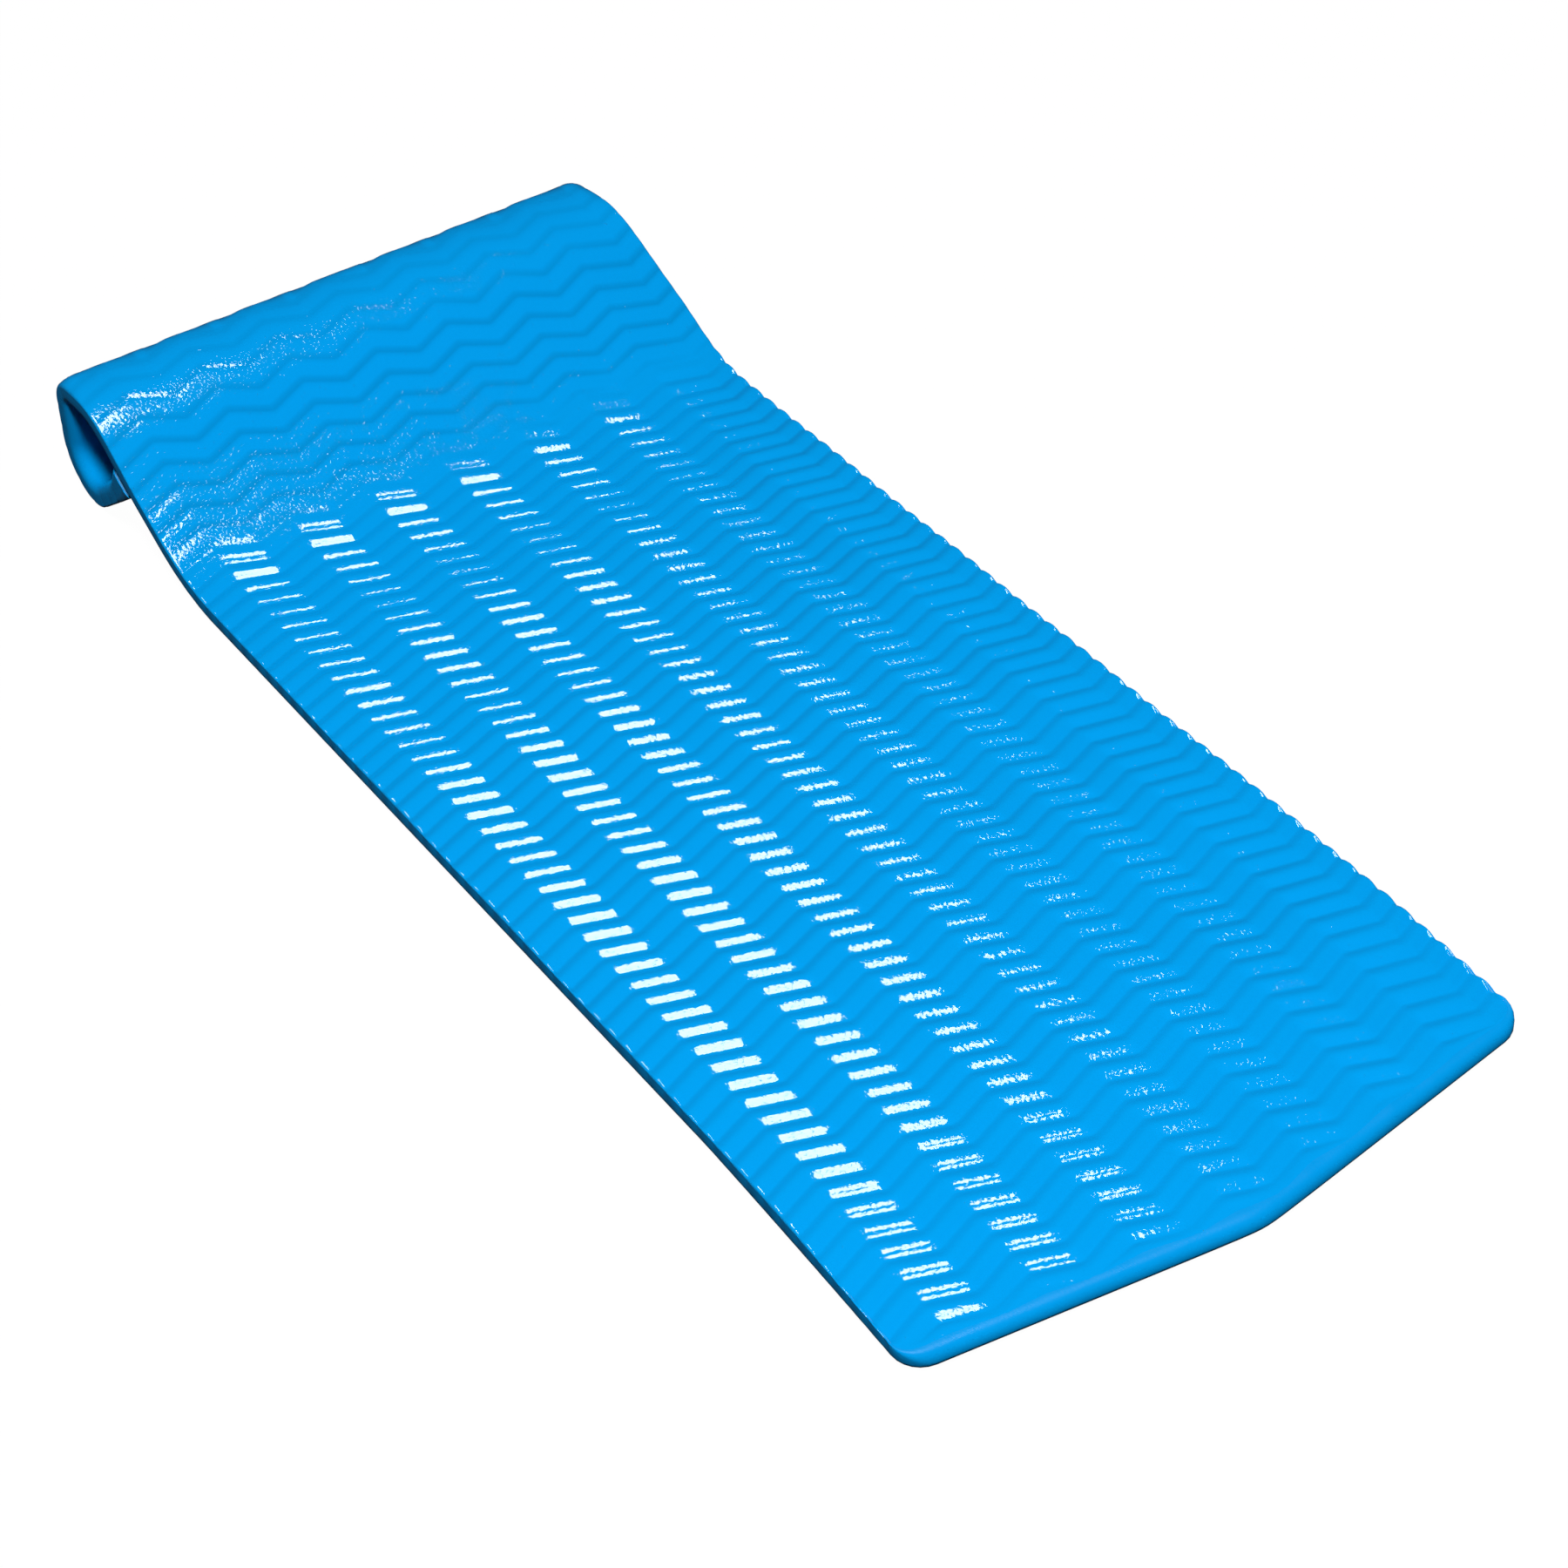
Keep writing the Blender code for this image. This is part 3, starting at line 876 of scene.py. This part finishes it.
def new_surface(name, colour, clouds, drift, smoothest, roughest, grains, grain_height,
                specular=0.5):
    """Material with drifting colour and gloss over a fine grain."""
    material = bpy.data.materials.new(name)
    material.use_nodes = True
    tree = material.node_tree
    tint = place_group(tree, colour_drift_group(), (-500, 260), Colour=colour,
                       Clouds_per_metre=clouds, Amount=drift)
    gloss = place_group(tree, gloss_drift_group(), (-500, 20), Smoothest=smoothest,
                        Roughest=roughest)
    grain = place_group(tree, grain_group(), (-760, -240), Grains_per_metre=grains,
                        Height=grain_height)
    bump = add_node(tree, "ShaderNodeBump", (-260, -240), strength=1.0, distance=1.0)
    shader = tree.nodes["Principled BSDF"]
    shader.inputs["Specular IOR Level"].default_value = specular
    feed(tree, tint.outputs[0], shader.inputs["Base Color"])
    feed(tree, gloss.outputs[0], shader.inputs["Roughness"])
    feed(tree, grain.outputs[0], bump.inputs["Height"])
    feed(tree, bump.outputs[0], shader.inputs["Normal"])
    return material


def ribbed_vinyl(finish):
    """Glossy vinyl with fine orange peel, wrinkled where the sheet is pressed together, with
    painted shade darkening its colour there.
    """
    material = new_surface(
        "Glossy ribbed vinyl", finish.top_blue, clouds=7.0, drift=0.06, smoothest=0.03,
        roughest=0.055, grains=280.0, grain_height=0.0001, specular=0.75)
    tree = material.node_tree
    tint = tree.nodes["Colour drift"].outputs[0]
    grain = tree.nodes["Fine grain"].outputs[0]
    flat = add_node(tree, "ShaderNodeUVMap", (-1500, -560), uv_map="Flat sheet")
    stretch = add_node(tree, "ShaderNodeMapping", (-1300, -560), vector=flat.outputs[0],
                       scale=WRINKLES)
    wrinkle = add_noise(tree, (-1080, -560), vector=stretch.outputs[0], scale=1.0, detail=2.0,
                        distortion=0.6)
    attribute = add_node(tree, "ShaderNodeAttribute", (-1080, -820), attribute_name="crease")
    squeeze_shade_mask = attribute.outputs["Fac"]
    depth = add_math(tree, "MULTIPLY", (-860, -560), wrinkle, squeeze_shade_mask)
    metres = add_math(tree, "MULTIPLY", (-680, -560), depth, WRINKLE_DEPTH)
    growth = add_math(tree, "MULTIPLY_ADD", (-860, -760), squeeze_shade_mask, WRINKLE_GRAIN, 1.0)
    pitted = add_math(tree, "MULTIPLY", (-680, -300), grain, growth)
    total = add_math(tree, "ADD", (-460, -400), pitted, metres)
    feed(tree, total, tree.nodes["Bump"].inputs["Height"])
    # Painted shade: the colour is darkened where the mask is high, at the foot of each rib's front
    # on the pillow.
    shade = add_node(tree, "ShaderNodeMapRange", (-480, 480), value=squeeze_shade_mask, to_min=1.0,
                     to_max=PAINTED_GROOVE_SHADE)
    painted_shade_tint = add_node(tree, "ShaderNodeVectorMath", (-220, 320), operation="SCALE", vector=tint,
                      scale=shade.outputs[0])
    feed(tree, painted_shade_tint.outputs[0], tree.nodes["Principled BSDF"].inputs["Base Color"])
    return material


def smooth_vinyl(finish):
    """Satin vinyl of the underside and the edges, with a slightly pitted skin."""
    return new_surface(
        "Satin smooth vinyl", finish.under_blue, clouds=9.0, drift=0.14, smoothest=0.22,
        roughest=0.40, grains=420.0, grain_height=0.00006, specular=0.2)


def blue_foam(finish):
    """Matte closed-cell foam."""
    return new_surface(
        "Blue closed-cell foam", finish.foam_blue, clouds=14.0, drift=0.15, smoothest=0.80,
        roughest=0.95, grains=900.0, grain_height=0.0002)


def amber_glue(finish):
    """Set glue, a little uneven."""
    return new_surface(
        "Set amber glue", finish.glue_amber, clouds=30.0, drift=0.25, smoothest=0.35,
        roughest=0.60, grains=260.0, grain_height=0.0002)


def floor_surface(finish):
    """Pale floor that glows for the camera alone, so it throws little light on the mat."""
    material = bpy.data.materials.new("Pale floor")
    material.use_nodes = True
    tree = material.node_tree
    shader = tree.nodes["Principled BSDF"]
    seen = add_node(tree, "ShaderNodeLightPath", (-500, -200))
    tint = place_group(tree, colour_drift_group(), (-500, 0), Colour=finish.floor_white,
                       Clouds_per_metre=0.7, Amount=0.01)
    feed(tree, tint.outputs[0], shader.inputs["Emission Color"])
    feed(tree, seen.outputs["Is Camera Ray"], shader.inputs["Emission Strength"])
    shader.inputs["Base Color"].default_value = (0.02, 0.02, 0.02, 1.0)
    shader.inputs["Roughness"].default_value = 0.9
    shader.inputs["Specular IOR Level"].default_value = 0.1
    return material


class POOLMAT_OT_foam_sheet(bpy.types.Operator):
    """Foam sheet inside the vinyl, with its ribs, its pointed foot and its rolled pillow"""

    bl_idname = "pool_mat.foam_sheet"
    bl_label = "Foam Sheet"

    def execute(self, context):
        scene = context.scene
        sheet = scene.mat_sheet
        plan = SheetPlan(sheet, scene.mat_roll, inset=sheet.foam_gap, phases=FOAM_ROWS, lap=0.0)
        foam = blue_foam(scene.mat_finish)
        new_piece("foam_sheet", sheet_block(plan), foam, "foam_core")
        return {"FINISHED"}


class POOLMAT_OT_ribbed_skin(bpy.types.Operator):
    """Glossy vinyl skin over the ribs"""

    bl_idname = "pool_mat.ribbed_skin"
    bl_label = "Ribbed Skin"

    def execute(self, context):
        scene = context.scene
        sheet = scene.mat_sheet
        plan = SheetPlan(sheet, scene.mat_roll, inset=0.0, phases=SKIN_ROWS, lap=0.0)
        bm = sheet_block(plan)
        keep_faces(bm, (TOP_FACE,))
        vinyl = ribbed_vinyl(scene.mat_finish)
        piece = new_piece("ribbed_upper_skin", bm, vinyl, "upper_vinyl_skin")
        add_coat(piece, sheet.coat)
        return {"FINISHED"}


class POOLMAT_OT_smooth_skin(bpy.types.Operator):
    """Satin vinyl skin of the underside and the edges, lapped over the foot"""

    bl_idname = "pool_mat.smooth_skin"
    bl_label = "Smooth Skin"

    def execute(self, context):
        scene = context.scene
        sheet = scene.mat_sheet
        plan = SheetPlan(sheet, scene.mat_roll, inset=0.0, phases=SKIN_ROWS, lap=sheet.lap_height)
        bm = sheet_block(plan)
        keep_faces(bm, (UNDER_FACE, LAP_FACE))
        vinyl = smooth_vinyl(scene.mat_finish)
        piece = new_piece("smooth_lower_skin", bm, vinyl, "lower_vinyl_skin")
        add_coat(piece, sheet.coat)
        return {"FINISHED"}


class POOLMAT_OT_glue_line(bpy.types.Operator):
    """Finish of the glue line that holds the rolled tail"""

    bl_idname = "pool_mat.glue_line"
    bl_label = "Glue Line"

    def execute(self, context):
        glue = amber_glue(context.scene.mat_finish)
        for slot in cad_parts["pillow_bond"].material_slots:
            slot.material = glue
        return {"FINISHED"}


def add_lamp(name, place, aim, width, length, power):
    """Rectangular softbox that faces a point."""
    lamp = bpy.data.lights.new(name, "AREA")
    lamp.shape = "RECTANGLE"
    lamp.size = width
    lamp.size_y = length
    lamp.energy = power
    item = bpy.data.objects.new(name, lamp)
    item.location = place
    item.rotation_euler = (Vector(aim) - Vector(place)).to_track_quat("-Z", "Y").to_euler()
    bpy.context.scene.collection.objects.link(item)
    return item


def dim_room(world, ambient):
    """Pale backdrop for the camera, soft light for matte surfaces, a dark room for the gloss."""
    world.use_nodes = True
    tree = world.node_tree
    tree.nodes.clear()
    rays = add_node(tree, "ShaderNodeLightPath", (-600, 0)).outputs
    gloss = add_node(tree, "ShaderNodeMapRange", (-380, -120), value=rays["Is Glossy Ray"],
                     to_min=ambient, to_max=DARK_ROOM)
    seen = add_node(tree, "ShaderNodeMapRange", (-180, 0), value=rays["Is Camera Ray"],
                    to_min=gloss.outputs[0], to_max=1.0)
    room = add_node(tree, "ShaderNodeBackground", (20, 0), strength=seen.outputs[0])
    add_node(tree, "ShaderNodeOutputWorld", (220, 0), surface=room.outputs[0])


class POOLMAT_OT_stage(bpy.types.Operator):
    """Pale floor, softboxes and the camera"""

    bl_idname = "pool_mat.stage"
    bl_label = "Stage"

    def execute(self, context):
        scene = context.scene
        stage = scene.mat_stage
        bm = bmesh.new()
        bmesh.ops.create_grid(bm, x_segments=1, y_segments=1, size=FLOOR_REACH)
        bmesh.ops.translate(bm, vec=(0.0, 0.0, -FLOOR_DROP), verts=bm.verts)
        mesh = bpy.data.meshes.new("floor")
        bm.to_mesh(mesh)
        bm.free()
        mesh.materials.append(floor_surface(scene.mat_finish))
        floor = bpy.data.objects.new("floor", mesh)
        scene.collection.objects.link(floor)
        key = add_lamp("overhead_softbox", place=(-1.5, -2.2, 6.0), aim=(0.0, 0.0, 0.0),
                       width=0.9, length=0.9, power=stage.key_power)
        key.visible_glossy = False
        strip = add_lamp("strip_softbox", place=(1.63, 1.65, 12.0), aim=(1.63, 1.65, 0.0),
                         width=2.66, length=4.3, power=stage.strip_power)
        strip.visible_diffuse = False
        if scene.world is None:
            scene.world = bpy.data.worlds.new("Studio")
        dim_room(scene.world, stage.ambient)
        scene.view_settings.view_transform = "Standard"
        lens = bpy.data.cameras.new("camera")
        lens.lens = stage.lens
        lens.sensor_width = 36.0
        lens.clip_start = 0.05
        camera = bpy.data.objects.new("camera", lens)
        sight = Vector(stage.camera_aim) - Vector(stage.camera_place)
        turn = sight.to_track_quat("-Z", "Y").to_matrix()
        turn = turn @ Matrix.Rotation(stage.camera_roll, 3, "Z")
        camera.matrix_world = Matrix.Translation(stage.camera_place) @ turn.to_4x4()
        scene.collection.objects.link(camera)
        scene.camera = camera
        return {"FINISHED"}


class POOLMAT_PT_panel(bpy.types.Panel):
    """Lists the pieces of the mat in the 3D view's sidebar"""

    bl_label = "Pool Mat"
    bl_idname = "POOLMAT_PT_panel"
    bl_space_type = "VIEW_3D"
    bl_region_type = "UI"
    bl_category = "Pool Mat"

    def draw(self, context):
        layout = self.layout
        for group in GROUPS:
            settings = getattr(context.scene, group)
            box = layout.box()
            for name in settings.__annotations__:
                box.prop(settings, name)
        for operator in OPERATORS:
            layout.operator(operator.bl_idname)


GROUPS = {
    "mat_sheet": MatSheet,
    "mat_roll": MatRoll,
    "mat_finish": MatFinish,
    "mat_stage": MatStage,
}
OPERATORS = (
    POOLMAT_OT_foam_sheet,
    POOLMAT_OT_ribbed_skin,
    POOLMAT_OT_smooth_skin,
    POOLMAT_OT_glue_line,
    POOLMAT_OT_stage,
)
CLASSES = (*GROUPS.values(), *OPERATORS, POOLMAT_PT_panel)


def register():
    for item in CLASSES:
        bpy.utils.register_class(item)
    for name, group in GROUPS.items():
        setattr(bpy.types.Scene, name, PointerProperty(type=group))


def unregister():
    for name in GROUPS:
        delattr(bpy.types.Scene, name)
    for item in reversed(CLASSES):
        bpy.utils.unregister_class(item)


def main():
    register()
    bpy.ops.pool_mat.foam_sheet()
    bpy.ops.pool_mat.ribbed_skin()
    bpy.ops.pool_mat.smooth_skin()
    bpy.ops.pool_mat.glue_line()
    bpy.ops.pool_mat.stage()


if __name__ == "__main__":
    main()
